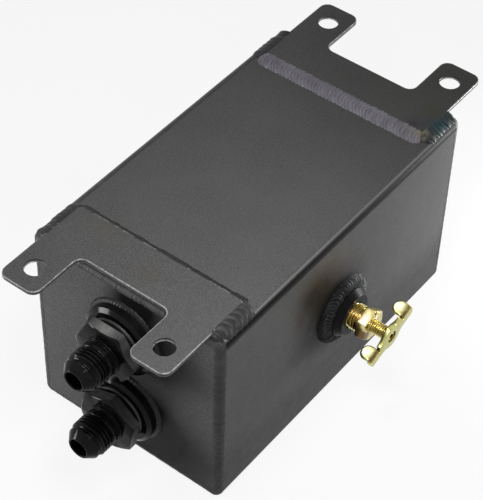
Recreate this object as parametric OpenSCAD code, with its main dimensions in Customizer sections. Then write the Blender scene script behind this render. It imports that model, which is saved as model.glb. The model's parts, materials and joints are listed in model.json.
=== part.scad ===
// Oil catch can: a welded square tank with two hose ports, a drain cock and bolt-on brackets.
// Millimetres. The origin is the centre of the tank's flat bottom face, +Z up.
// The two hose ports point along -Y and the drain cock points along +X.

/* [Tank] */
// Outside width of the tank, across X
tank_w = 80; // [64:0.1:140]
// Outside height of the tank, along Z
tank_h = 80.8; // [72:0.1:140]
// Outside length over both end plates, along Y
tank_l = 137.8; // [116:0.1:260]
// Sheet thickness of the folded wrap
wall_t = 2.5; // [2:0.1:2.7]
// Thickness of each end plate
end_t = 2.5; // [2:0.1:2.7]
// Outside radius of the four long folds
fold_r = 3.2; // [3:0.1:6]
// Width of the welded seam along the upper left fold
seam_w = 1.2; // [0.6:0.1:2]
// Lean of the seam from the vertical, about the fold's centre
seam_lean = 14; // [5:1:30]

/* [Brackets] */
// Thickness of a bracket
bracket_t = 1.6; // [1.2:0.1:3]
// How far a bracket's side lies in from the tank's side
bracket_in = 5; // [4.2:0.1:10]
// How far the inner edge lies in from the tank's end
bracket_seat = 18.9; // [12:0.1:25]
// How far the bottom of the notch lies in from the tank's end
notch_in = 0.7; // [0.2:0.1:3]
// How far the ears reach past the tank's end
ear_out = 21.4; // [17:0.1:40]
// Width of one ear
ear_w = 16; // [13:0.1:19]
// Radius of the ears' end corners
ear_r = 3.6; // [1:0.1:5]
// Radius of the inner corners that sit on the tank
seat_r = 2.5; // [1:0.1:4]
// Radius of the fillets at the bottom of the notch
notch_r = 3.2; // [1:0.1:4]
// Diameter of a mounting hole
mount_d = 8.4; // [5:0.1:9]
// Distance from a hole's centre to the end of its ear
mount_in = 9.4; // [7:0.1:12]

/* [Weld beads] */
// Radius of the bracket side beads
side_bead_r = 2.4; // [1.7:0.1:2.8]
// Radius of the wide bead along the rear bracket's inner edge
edge_bead_r = 3.7; // [3.2:0.1:5]
// How far the wide bead stands above the bracket
edge_bead_rise = 0.8; // [0.3:0.1:1.5]
// Reach of a port's weld ring across the plate
port_bead = 1.3; // [0.8:0.1:2.2]
// Reach of the drain's weld ring across the wall
drain_bead = 3.8; // [2.5:0.1:4.4]
// Rise of the drain's weld ring up its bung
drain_bead_h = 2.8; // [2:0.1:3]

/* [Hose ports] */
// Share of the end's free height that lies below the lower bung
port_low_share = 0.36; // [0.3:0.01:0.45]
// Share of the end's free height that lies between the bungs
port_gap_share = 0.29; // [0.2:0.01:0.35]
// Diameter of a port bung
bung_d = 27.9; // [26:0.1:29]
// Height of a port bung above the plate
bung_h = 4.8; // [4:0.1:14]
// Width of the bung's front bevel
bung_bevel = 1.5; // [0.5:0.1:1.8]
// Height of the bung's front bevel
bung_bevel_h = 1; // [0.5:0.1:1.5]
// Diameter of the spigot that sits in the plate
bung_spigot_d = 24.4; // [22:0.1:25]
// Diameter of the bung's threaded bore
boss_d = 19.05; // [17:0.05:20]
// Length of the fitting's boss thread
boss_l = 8.4; // [7:0.1:11]
// Gap between the bung and the fitting's shoulder
hex_gap = 1.1; // [0.9:0.1:1.5]
// Diameter of the round shoulder behind the hexagon
shoulder_d = 21.2; // [21:0.1:22]
// Length of the shoulder
shoulder_l = 1.4; // [0.8:0.1:3]
// Hexagon size across flats
hex_af = 22.2; // [20:0.1:24]
// Hexagon thickness
hex_t = 4.3; // [3:0.1:8]
// Turn of the lower hexagon from the upper one's
lower_turn = 20; // [0:1:59]
// Diameter of the collar in front of the hexagon
collar_d = 14; // [12.5:0.1:15]
// Length of the collar
collar_l = 0.8; // [0.4:0.1:2]
// Diameter of the neck behind the flare thread
neck_d = 11.8; // [10.5:0.1:12.5]
// Length of the neck
neck_l = 3.4; // [1:0.1:6]
// Outside diameter of the flare thread
flare_d = 14.29; // [13:0.01:16]
// Length of the flare thread
flare_l = 4.8; // [3:0.1:10]
// Diameter of the plain nose
nose_d = 12.5; // [11:0.1:12.8]
// Length of the plain nose
nose_l = 2.2; // [1:0.1:4]
// Diameter of the flare cone's small end
tip_d = 8.1; // [7.8:0.1:10]
// Flow bore through the fitting
flow_d = 7.1; // [5.5:0.1:7.3]
// Section diameter of the port O-ring
o_ring_t = 2.1; // [1.8:0.1:2.2]

/* [Drain cock] */
// Place of the drain along the tank, from its middle
drain_y = 0; // [-20:0.1:20]
// How far the drain lies below the middle of the wall
drain_drop = 0.6; // [0:0.1:3]
// Largest diameter of the drain bung
drain_bung_d = 19.3; // [18:0.1:24]
// Diameter of the drain bung's front face
drain_face_d = 15.6; // [13:0.1:17]
// Height of the drain bung's straight part
drain_straight_h = 3.2; // [2:0.1:5]
// Height of the drain bung above the wall
drain_bung_h = 5.6; // [5.2:0.1:12]
// Diameter of the cock's pipe thread
pipe_d = 9.7; // [9.2:0.1:10.6]
// Length of pipe thread that shows in front of the bung
pipe_show = 4; // [2:0.1:8]
// Cock hexagon across flats
cock_af = 11.1; // [10.6:0.1:14]
// Cock hexagon thickness
cock_hex_t = 4; // [2:0.1:8]
// Turn of the cock's hexagon at rest
cock_turn = -10; // [-30:1:30]
// Outside diameter of the stem thread
stem_d = 5; // [4.6:0.1:5.6]
// Length of stem that shows between the hexagon and the handle
stem_show = 5.9; // [5.2:0.1:10]
// Diameter of the stem's outlet bore
outlet_d = 2; // [1.2:0.1:2.4]
// Diameter of the seat's passage into the tank
seat_d = 2.8; // [2:0.1:3.4]
// Diameter of the chamber round the stem's tip
chamber_d = 6.4; // [5.8:0.1:7]
// Length of the chamber
chamber_l = 5; // [4:0.1:6]
// Diameter of the cross holes behind the stem's tip
cross_d = 1.4; // [1:0.1:2]
// Hub diameter of the handle
hub_d = 10; // [9:0.1:12]
// Thickness of the hub
hub_t = 2; // [1.9:0.1:4]
// How far the stem's end lies below the hub's face
stem_sink = 0.5; // [0.2:0.1:0.8]
// Length of the handle over both arms
handle_l = 25.5; // [21:0.1:36]
// Width of an arm
arm_w = 5; // [4:0.1:6]
// Thickness of the handle's sheet
arm_t = 1.7; // [1.2:0.1:1.8]
// Length of the thumb tab at the end of an arm
tab_l = 5.6; // [4:0.1:5.8]
// Depth of a thumb tab behind the arm
tab_deep = 3.6; // [3.5:0.1:3.9]
// Outside radius of the fold between an arm and its tab
tab_fold_r = 2; // [1.9:0.1:2.2]
// Turn of the handle from the tank's length at rest
handle_turn = 20; // [0:0.1:90]

/* [Baffle] */
// Thickness of the inner divider
baffle_t = 1.5; // [1:0.1:3]
// Gap left between the divider and the drain wall
baffle_gap = 24; // [16:0.1:30]
// Gap left between the divider and the rear plate
baffle_rear_gap = 28; // [15:0.1:50]
// Radius of the divider's free corner
baffle_r = 10; // [4:0.1:16]

/* [Fits] */
// Radial clearance of a screwed or seated joint
thread_clear = 0.03; // [0.01:0.01:0.08]
// Radial clearance of the turning stem and handle
run_clear = 0.05; // [0.02:0.01:0.1]
// Working clearance round the O-ring
seal_clear = 0.05; // [0.02:0.01:0.1]

/* [Hidden] */
$fn = 48;

over = 1; // how far a cutting tool runs past a face

wrap_l = tank_l - 2 * end_t;
wrap_end = wrap_l / 2;
end_y = tank_l / 2;
inner_w = tank_w - 2 * wall_t;
inner_h = tank_h - 2 * wall_t;
fold_in_r = fold_r - wall_t;

bead_r = end_t; // the end beads round the corner between plate and wrap off flush
plate_w = tank_w - 2 * bead_r;
plate_h = tank_h - 2 * bead_r;
plate_r = fold_r - bead_r;

port_free_h = tank_h - 2 * bung_d;
port_gap = port_free_h * port_gap_share;
lower_z = port_free_h * port_low_share + bung_d / 2;
upper_z = lower_z + bung_d + port_gap;
port_mid_z = (upper_z + lower_z) / 2;
ring_clear = 0.3;
port_ring = min(port_bead, port_gap / 2 - ring_clear);
drain_z = tank_h / 2 - drain_drop;

bracket_w = tank_w - 2 * bracket_in;
notch_w = bracket_w - 2 * ear_w;
notch_y = end_y - notch_in;
ear_y = end_y + ear_out;
seat_y = end_y - bracket_seat;
mount_x = (bracket_w - ear_w) / 2;
mount_y = ear_y - mount_in;

shoulder_z = bung_h + hex_gap;
hex_z = shoulder_z + shoulder_l;
collar_z = hex_z + hex_t;
neck_z = collar_z + collar_l;
flare_z = neck_z + neck_l;
nose_z = flare_z + flare_l;
cone_z = nose_z + nose_l;
flare_half_angle = 37;
tip_z = cone_z + (nose_d - tip_d) / 2 / tan(flare_half_angle);
flare_bevel = (flare_d - nose_d) / 2;
groove_d = boss_d - 2.65;
o_ring_r = groove_d / 2 + seal_clear + o_ring_t / 2;
o_ring_z = shoulder_z - seal_clear - o_ring_t / 2;
mouth_d = 2 * (o_ring_r + o_ring_t / 2 + seal_clear) + 0.1;
mouth_l = o_ring_t + 0.3;

cock_z = drain_bung_h + pipe_show;
stem_exit = cock_z + cock_hex_t;
hub_z = stem_exit + stem_show;
hub_face = hub_z + hub_t;
arm_z = hub_face - arm_t - 0.1;
stem_end = hub_face - stem_sink;
seat_z = 0.8;
tip_flat_z = seat_z + 0.05;
tip_top_z = tip_flat_z + 1.2;
tip_flat_d = seat_d - 0.2;
cross_z = tip_top_z + 1.4;

// Rounded rectangle about the origin, with true arcs
module round_rect(w, h, r) {
  square([w - 2 * r, h], center = true);
  square([w, h - 2 * r], center = true);
  for (sx = [-1, 1], sy = [-1, 1])
    translate([sx * (w / 2 - r), sy * (h / 2 - r)]) circle(r);
}

// Puts a profile in the X-Z plane and extrudes it along +Y from y0
module along_y(y0, length) {
  translate([0, y0 + length, 0]) rotate([90, 0, 0]) linear_extrude(length) children();
}

// The tank as one filled block, for cutting beads to its surface
module tank_block(length) {
  along_y(-length / 2, length) translate([0, tank_h / 2]) round_rect(tank_w, tank_h, fold_r);
}

// A port's own frame: origin on the plate's face, +Z straight out of the port
module at_port(z) {
  translate([0, -end_y, z]) rotate([90, 0, 0]) children();
}

// The drain's own frame: origin on the wall's face, +Z straight out of the drain
module at_drain() {
  translate([tank_w / 2, drain_y, drain_z]) rotate([0, 90, 0]) children();
}

// Strip across the wrap at the upper left fold, where the sheet's two edges meet
module seam_strip(radius) {
  translate([-(tank_w / 2 - fold_r), tank_h - fold_r])
    rotate(seam_lean)
      translate([-seam_w / 2, 0]) square([seam_w, radius]);
}

module wrap_section() {
  translate([0, tank_h / 2]) difference() {
    round_rect(tank_w, tank_h, fold_r);
    round_rect(inner_w, inner_h, fold_in_r);
  }
}

module tank_wrap() {
  color("dimgray") difference() {
    along_y(-wrap_end, wrap_l) difference() {
      wrap_section();
      seam_strip(fold_r + over);
    }
    at_drain() translate([0, 0, -wall_t - over])
      cylinder(d = drain_face_d + 2 * thread_clear, h = wall_t + 2 * over);
  }
}

module seam_weld() {
  color("gray") along_y(-wrap_end, wrap_l) intersection() {
    wrap_section();
    seam_strip(fold_r + over);
  }
}

module end_plate() {
  along_y(-end_y, end_t) translate([0, tank_h / 2]) round_rect(plate_w, plate_h, plate_r);
}

module front_end_plate() {
  color("dimgray") difference() {
    end_plate();
    for (z = [upper_z, lower_z])
      at_port(z) translate([0, 0, -end_t - over])
        cylinder(d = bung_spigot_d + 2 * thread_clear, h = end_t + 2 * over);
  }
}

module rear_end_plate() {
  color("dimgray") mirror([0, 1, 0]) end_plate();
}

module quarter_disc(r) {
  intersection() {
    circle(r);
    square(r);
  }
}

// Bead that rounds one corner of the end off, and the straight run after it
module end_bead_side(run) {
  rotate_extrude(angle = 90) translate([plate_r, 0]) quarter_disc(bead_r);
  translate([plate_r, 0, 0]) rotate([90, 0, 0]) linear_extrude(run) quarter_disc(bead_r);
}

// Bead all round the end plate, lying on the wrap's end
module end_weld() {
  x = plate_w / 2 - plate_r;
  z = plate_h / 2 - plate_r;
  translate([0, -wrap_end, tank_h / 2]) rotate([90, 0, 0]) {
    translate([x, z, 0]) end_bead_side(2 * z);
    rotate(90) translate([z, x, 0]) end_bead_side(2 * x);
    rotate(180) translate([x, z, 0]) end_bead_side(2 * z);
    rotate(270) translate([z, x, 0]) end_bead_side(2 * x);
  }
}

module front_end_weld() {
  color("gray") end_weld();
}

module rear_end_weld() {
  color("gray") mirror([0, 1, 0]) end_weld();
}

module bracket_outline() {
  ear_start = notch_y - seat_r - ear_r - 0.5;
  difference() {
    union() {
      translate([0, -(seat_y + notch_y) / 2]) round_rect(bracket_w, notch_y - seat_y, seat_r);
      for (sx = [-1, 1]) {
        translate([sx * mount_x, -(ear_start + ear_y) / 2]) round_rect(ear_w, ear_y - ear_start, ear_r);
        translate([sx * (notch_w / 2 - notch_r / 2), -notch_y - notch_r / 2])
          square([notch_r + over, notch_r], center = true);
      }
    }
    for (sx = [-1, 1]) {
      translate([sx * (notch_w / 2 - notch_r), -notch_y - notch_r]) circle(notch_r);
      translate([sx * mount_x, -mount_y]) circle(d = mount_d);
    }
  }
}

module mount_bracket() {
  translate([0, 0, tank_h]) linear_extrude(bracket_t) bracket_outline();
}

module front_bracket() {
  color("dimgray") mount_bracket();
}

module rear_bracket() {
  color("dimgray") mirror([0, 1, 0]) mount_bracket();
}

// Fillet beads down both short sides of the bracket
module bracket_side_beads() {
  bead_l = wrap_end - seat_y - seat_r;
  difference() {
    for (sx = [-1, 1])
      along_y(-wrap_end, bead_l)
        translate([sx * (bracket_w / 2 + side_bead_r / 4), tank_h]) circle(side_bead_r);
    tank_block(tank_l + 2 * over);
    translate([-bracket_w / 2, -wrap_end - over, tank_h])
      cube([bracket_w, bead_l + 2 * over, bracket_t + side_bead_r]);
  }
}

module front_bracket_weld() {
  color("gray") bracket_side_beads();
}

// Wide bead along the rear bracket's inner edge
module edge_bead() {
  drop = edge_bead_r - bracket_t - edge_bead_rise;
  difference() {
    translate([-bracket_w / 2, seat_y, tank_h - drop]) rotate([0, 90, 0])
      cylinder(r = edge_bead_r, h = bracket_w);
    tank_block(tank_l + 2 * over);
    mirror([0, 1, 0]) mount_bracket();
  }
}

module rear_bracket_weld() {
  color("gray") {
    mirror([0, 1, 0]) bracket_side_beads();
    edge_bead();
  }
}

module baffle_plate() {
  x0 = -inner_w / 2;
  x1 = inner_w / 2 - baffle_gap;
  y0 = -wrap_end;
  y1 = wrap_end - baffle_rear_gap;
  color("dimgray") translate([0, 0, port_mid_z - baffle_t / 2]) linear_extrude(baffle_t) {
    translate([x0, y0]) square([x1 - x0 - baffle_r, y1 - y0]);
    translate([x0, y0]) square([x1 - x0, y1 - y0 - baffle_r]);
    translate([x1 - baffle_r, y1 - baffle_r]) circle(baffle_r);
  }
}

// Turned ring with a spigot in the plate, an O-ring mouth and a threaded bore
module port_bung() {
  bore_r = boss_d / 2 + thread_clear;
  rim_r = bung_d / 2;
  rotate_extrude($fn = 96) polygon([
    [bore_r, -end_t], [bung_spigot_d / 2, -end_t], [bung_spigot_d / 2, 0], [rim_r, 0],
    [rim_r, bung_h - bung_bevel_h], [rim_r - bung_bevel, bung_h], [mouth_d / 2, bung_h],
    [bore_r, bung_h - mouth_l]
  ]);
}

module upper_port_bung() {
  color("black") at_port(upper_z) port_bung();
}

module lower_port_bung() {
  color("black") at_port(lower_z) port_bung();
}

// Convex fillet bead round a turned piece of radius r, its arc centred a little inside the piece
module weld_ring(r, reach, rise) {
  sink = 0.3;
  drop = (rise * rise - reach * reach - 2 * reach * sink) / (2 * rise);
  arc_r = sqrt((reach + sink) * (reach + sink) + drop * drop);
  rotate_extrude($fn = 96) intersection() {
    translate([r - sink, drop]) circle(arc_r);
    translate([r, 0]) square(reach + over);
  }
}

module upper_bung_weld() {
  color("gray") at_port(upper_z) weld_ring(bung_d / 2, port_ring, port_ring);
}

module lower_bung_weld() {
  color("gray") at_port(lower_z) weld_ring(bung_d / 2, port_ring, port_ring);
}

module o_ring() {
  translate([0, 0, o_ring_z]) rotate_extrude($fn = 96) translate([o_ring_r, 0]) circle(d = o_ring_t);
}

module upper_o_ring() {
  color("black") at_port(upper_z) o_ring();
}

module lower_o_ring() {
  color("black") at_port(lower_z) o_ring();
}

// Hexagon with its front corners turned off round
module chamfered_hex(af, height) {
  corner_d = af / cos(30);
  bevel = (corner_d - af) / sqrt(3);
  intersection() {
    cylinder(d = corner_d, h = height, $fn = 6);
    rotate_extrude($fn = 96) polygon([
      [0, 0], [corner_d / 2, 0], [corner_d / 2, height - bevel],
      [af / 2 * 0.98, height], [0, height]
    ]);
  }
}

// Adapter turned from hexagon bar: boss thread, shoulder, hexagon, collar, neck, flare thread and cone
module port_fitting(turn) {
  bevel = 0.8;
  boss_end = shoulder_z - boss_l;
  groove_l = o_ring_t + 0.6;
  difference() {
    union() {
      rotate_extrude($fn = 96) polygon([
        [0, boss_end], [boss_d / 2 - bevel, boss_end], [boss_d / 2, boss_end + bevel],
        [boss_d / 2, shoulder_z - groove_l - bevel], [groove_d / 2, shoulder_z - groove_l],
        [groove_d / 2, shoulder_z], [shoulder_d / 2, shoulder_z], [shoulder_d / 2, hex_z + over],
        [0, hex_z + over]
      ]);
      translate([0, 0, hex_z]) rotate(turn) chamfered_hex(hex_af, hex_t);
      rotate_extrude($fn = 96) polygon([
        [0, collar_z - over], [collar_d / 2, collar_z - over], [collar_d / 2, neck_z],
        [neck_d / 2, neck_z + 0.3], [neck_d / 2, flare_z - 0.3], [flare_d / 2, flare_z],
        [flare_d / 2, nose_z - flare_bevel], [nose_d / 2, nose_z], [nose_d / 2, cone_z],
        [tip_d / 2, tip_z], [0, tip_z]
      ]);
    }
    translate([0, 0, boss_end - over]) cylinder(d = flow_d, h = tip_z - boss_end + 2 * over);
  }
}

module upper_port_fitting() {
  color("black") at_port(upper_z) port_fitting(0);
}

module lower_port_fitting() {
  color("black") at_port(lower_z) port_fitting(lower_turn);
}

// Turned bung with a tapered front, seated in the wall
module drain_bung() {
  bore_r = pipe_d / 2 + thread_clear;
  color("black") at_drain() rotate_extrude($fn = 96) polygon([
    [bore_r, -wall_t], [drain_face_d / 2, -wall_t], [drain_face_d / 2, 0], [drain_bung_d / 2, 0],
    [drain_bung_d / 2, drain_straight_h], [drain_face_d / 2, drain_bung_h],
    [bore_r + 0.5, drain_bung_h], [bore_r, drain_bung_h - 0.5]
  ]);
}

module drain_bung_weld() {
  color("gray") at_drain() weld_ring(drain_bung_d / 2, drain_bead, drain_bead_h);
}

// Cock body: pipe thread and hexagon outside, seat, chamber and stem thread inside
module drain_cock_body() {
  pipe_end = -wall_t;
  chamber_end = seat_z + chamber_l;
  stem_hole_d = stem_d + 2 * run_clear;
  color("gold") at_drain() difference() {
    union() {
      translate([0, 0, pipe_end]) cylinder(d = pipe_d, h = cock_z - pipe_end);
      translate([0, 0, cock_z]) rotate(cock_turn) chamfered_hex(cock_af, cock_hex_t);
    }
    translate([0, 0, pipe_end - over]) cylinder(d = seat_d, h = seat_z - pipe_end + 2 * over);
    translate([0, 0, seat_z]) cylinder(d = chamber_d, h = chamber_l);
    translate([0, 0, chamber_end - over]) cylinder(d = stem_hole_d, h = stem_exit - chamber_end + 2 * over);
  }
}

// Threaded stem with a cone at its inner end, cross holes behind it and an outlet bore
module drain_stem() {
  bore_z = cross_z - cross_d / 2;
  color("goldenrod") at_drain() difference() {
    rotate_extrude() polygon([
      [0, tip_flat_z], [tip_flat_d / 2, tip_flat_z], [stem_d / 2, tip_top_z],
      [stem_d / 2, stem_end], [0, stem_end]
    ]);
    translate([0, 0, bore_z]) cylinder(d = outlet_d, h = stem_end - bore_z + over);
    for (turn = [0, 90])
      translate([0, 0, cross_z]) rotate([90, 0, turn])
        cylinder(d = cross_d, h = stem_d + 2 * over, center = true);
  }
}

// One arm along +Y, cut from sheet, its half-round thumb tab folded back from the upper edge
module handle_arm() {
  end_r = arm_w / 3;
  edge = arm_w / 2;
  tab_y = handle_l / 2 - tab_l;
  fold_x = tab_fold_r - edge;
  fold_z = arm_z + arm_t - tab_fold_r;
  far = arm_t - tab_fold_r + tab_deep;
  round_x = max(far - tab_l / 2, over);
  translate([0, 0, arm_z]) linear_extrude(arm_t) {
    translate([-edge, 0]) square([arm_w, tab_y]);
    translate([fold_x, 0]) square([edge - fold_x, handle_l / 2 - end_r]);
    translate([fold_x, 0]) square([edge - fold_x - end_r, handle_l / 2]);
    translate([edge - end_r, handle_l / 2 - end_r]) circle(end_r);
  }
  translate([fold_x, tab_y, fold_z]) rotate([-90, 0, 0]) linear_extrude(tab_l) intersection() {
    translate([-tab_fold_r, -tab_fold_r]) square(tab_fold_r);
    difference() {
      circle(tab_fold_r);
      circle(tab_fold_r - arm_t);
    }
  }
  translate([-edge, tab_y, fold_z]) rotate([0, 90, 0]) linear_extrude(arm_t) intersection() {
    square([far, tab_l]);
    union() {
      square([round_x, tab_l]);
      translate([round_x, tab_l / 2]) circle(tab_l / 2);
    }
  }
}

module drain_handle() {
  color("yellowgreen") at_drain() difference() {
    union() {
      translate([0, 0, hub_z]) cylinder(d = hub_d, h = hub_t);
      for (side = [0, 1]) rotate(handle_turn) mirror([0, side, 0]) handle_arm();
    }
    translate([0, 0, hub_z - over]) cylinder(d = stem_d + 2 * run_clear, h = hub_t + 2 * over);
  }
}

tank_wrap();
front_end_plate();
rear_end_plate();
front_end_weld();
rear_end_weld();
seam_weld();
baffle_plate();
front_bracket();
rear_bracket();
front_bracket_weld();
rear_bracket_weld();
upper_port_bung();
lower_port_bung();
upper_bung_weld();
lower_bung_weld();
upper_o_ring();
lower_o_ring();
upper_port_fitting();
lower_port_fitting();
drain_bung();
drain_bung_weld();
drain_cock_body();
drain_stem();
drain_handle();
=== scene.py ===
import json
import math
import random

import bmesh
import bpy
from mathutils import Matrix, Vector


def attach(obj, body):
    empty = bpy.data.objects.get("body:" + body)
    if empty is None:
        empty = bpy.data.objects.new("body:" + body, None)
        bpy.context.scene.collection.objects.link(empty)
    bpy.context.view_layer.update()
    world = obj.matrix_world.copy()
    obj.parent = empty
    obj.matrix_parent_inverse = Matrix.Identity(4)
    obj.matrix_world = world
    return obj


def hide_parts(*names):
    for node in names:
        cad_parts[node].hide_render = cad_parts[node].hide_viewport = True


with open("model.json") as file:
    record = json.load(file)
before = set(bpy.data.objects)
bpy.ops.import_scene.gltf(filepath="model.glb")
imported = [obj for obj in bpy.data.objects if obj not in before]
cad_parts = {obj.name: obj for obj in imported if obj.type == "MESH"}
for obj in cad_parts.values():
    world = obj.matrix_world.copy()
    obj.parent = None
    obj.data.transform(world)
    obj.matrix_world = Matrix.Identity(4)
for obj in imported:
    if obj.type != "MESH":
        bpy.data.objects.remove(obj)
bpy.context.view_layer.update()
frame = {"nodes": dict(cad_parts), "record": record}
NODES = frame["nodes"]
MM = 0.001

# Camera, fitted to the tank's edges and the bolt holes in the photograph
CAMERA_AZIMUTH = 36.36
CAMERA_ELEVATION = 46.08
CAMERA_ROLL = 1.88
CAMERA_DISTANCE = 0.66707
AIM_RIGHT = -0.00243
AIM_UP = 0.02963
FOCAL_LENGTH = 128.09
SENSOR = 36.0

# Sizes of the part in millimetres and degrees, the same as in the solids
TANK_W = 80.0
TANK_H = 80.8
TANK_L = 137.8
FOLD_R = 3.2
END_BEAD = 2.5
BRACKET_T = 1.6
BRACKET_W = 70.0
BRACKET_SEAT_Y = 50.0
SEAT_R = 2.5
EAR_W = 16.0
EAR_R = 3.6
EAR_Y = 90.3
NOTCH_Y = 68.2
NOTCH_R = 3.2
MOUNT_X = 27.0
MOUNT_Y = 80.9
MOUNT_R = 4.2
DRAIN_Z = 39.8
PORT_Z = {"upper": 58.1, "lower": 22.95}
PORT_TURN = {"upper": 0.0, "lower": 20.0}
PORT_HEX = 22.2
PORT_BORE_R = 3.55
FLARE_CREST_R = 7.145
BUNG_R = 13.95
DRAIN_BUNG_R = 9.65
COCK_HEX = 11.1
COCK_HEX_BACK = 9.6
COCK_HEX_FRONT = 13.6
COCK_BORE_R = 2.55
DRAIN_R = 1.4
STEM_CREST_R = 2.5
HANDLE_TURN = 20.0
HANDLE_FRONT = 21.4
SHEET_T = 1.7
ARM_HALF = 2.5
ARM_END = 12.75
TAB_START = 7.15
FOLD_R_OUT = 2.0

# Not as in the solids, where the hexagon is turned 10 degrees and the tab is 3.3 deep
COCK_HEX_TURN = 8.0
TAB_DEEP = 3.8

# Threads, which are plain cylinders in the solids
FLARE_ROOT_R = 6.35
FLARE_PITCH = 1.411
PIPE_ROOT_R = 4.3
PIPE_CREST_R = 4.9
PIPE_PITCH = 0.94
STEM_ROOT_R = 1.85
STEM_PITCH = 0.8

# Hexagons: share of the full corner radius that is left, and the front face's radius as a
# share of half the width across flats
HEX_CORNER = 0.985
HEX_FACE = 0.97

# Seam weld on the upper left fold: its middle and half its width in degrees, and its rows
SEAM_ANGLE = 104.0
SEAM_SPREAD = 24.0
SEAM_ROWS = 420

# Bracket faces whose normal has an upright part between these two are the rim, worn and lightened
# further as a painted highlight
RIM_LEAN = (0.1, 0.97)

# Tones laid over the sheet at one place each: place, radius, colour, strength
SHEET_TINTS = [
    ((40.0, -13.0, 60.0), 22.0, (0.120, 0.075, 0.040), 1.0),
    ((40.0, -21.0, 52.0), 13.0, (0.085, 0.035, 0.040), 0.8),
    ((40.0, -8.0, 66.0), 12.0, (0.120, 0.100, 0.045), 0.8),
    ((37.0, 60.0, 82.0), 9.0, (0.010, 0.060, 0.070), 0.9),
    ((31.0, 64.0, 82.4), 8.0, (0.075, 0.070, 0.025), 0.7),
    ((30.0, 54.0, 82.4), 7.0, (0.030, 0.020, 0.045), 0.8),
    ((-20.0, -52.0, 82.4), 12.0, (0.085, 0.080, 0.055), 0.4),
    ((2.0, -60.0, 82.4), 10.0, (0.080, 0.075, 0.052), 0.4),
]

# Soot at the drain, and soot with painted shadow and shade on the front plate round the ports and under
# the front bracket: place, radius, gain, colour
SOOT_AND_SHADE = [
    # Soot round the drain
    ((40.0, -9.0, 45.0), 26.0, 2.2, (0.003, 0.003, 0.003)),
    ((40.0, -16.5, 59.5), 19.0, 1.7, (0.018, 0.014, 0.011)),
    # Front plate below the ports: soot, darkened further as painted shadow of the fittings
    ((10.0, -69.0, 16.0), 38.0, 2.0, (0.005, 0.005, 0.005)),
    # Round the upper port: soot, darkened further as painted shade under the bracket's notch
    ((12.0, -69.0, 58.0), 28.0, 1.4, (0.010, 0.010, 0.010)),
    # Painted shadow under the front bracket, above the upper port
    ((5.0, -69.0, 76.0), 17.0, 2.0, (0.004, 0.004, 0.004)),
]

# Painted highlight line and painted dark band of shade along the upper right fold: x, z, radius, colour
FOLD_HIGHLIGHT_AND_SHADE = [
    (38.9, 80.1, 0.40, (0.17, 0.17, 0.165)),
    (40.1, 78.2, 1.9, (0.002, 0.002, 0.002)),
]

# Area lamps, all aimed at one point, in metres and watts: name, place, size, power
LAMP_AIM = (0, 0, 0.04)
LAMPS = [
    ("overhead", (-0.4, 0.0, 0.95), (0.2, 0.2), 0.5),
    ("rear_side", (0.10, 0.14, 0.05), (0.06, 0.06), 0.2),
    ("front_top", (0.03, -0.07, 0.25), (0.04, 0.04), 0.2),
    ("front_right", (0.09, -0.1, 0.2), (0.04, 0.04), 0.11),
    ("left_front", (-0.15, -0.2, 0.06), (0.06, 0.06), 0.25),
    ("front", (0.17, -0.44, 0.36), (0.05, 0.05), 0.06),
    ("fold", (0.65, 0.5, 0.36), (0.06, 0.5), 0.2),
]

# Floor: half its width in metres, and the share of plain white in it
FLOOR_HALF = 3.0
FLOOR_GLOW = 0.88

# Brightness of the surroundings for indirect light, and for rays that see or mirror them
WORLD_LOW = 0.1
WORLD_SEEN = 1.0


# ---------------------------------------------------------------- materials
def new_material(name):
    mat = bpy.data.materials.new(name)
    mat.use_nodes = True
    tree = mat.node_tree
    return mat, tree, tree.nodes["Principled BSDF"]


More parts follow.
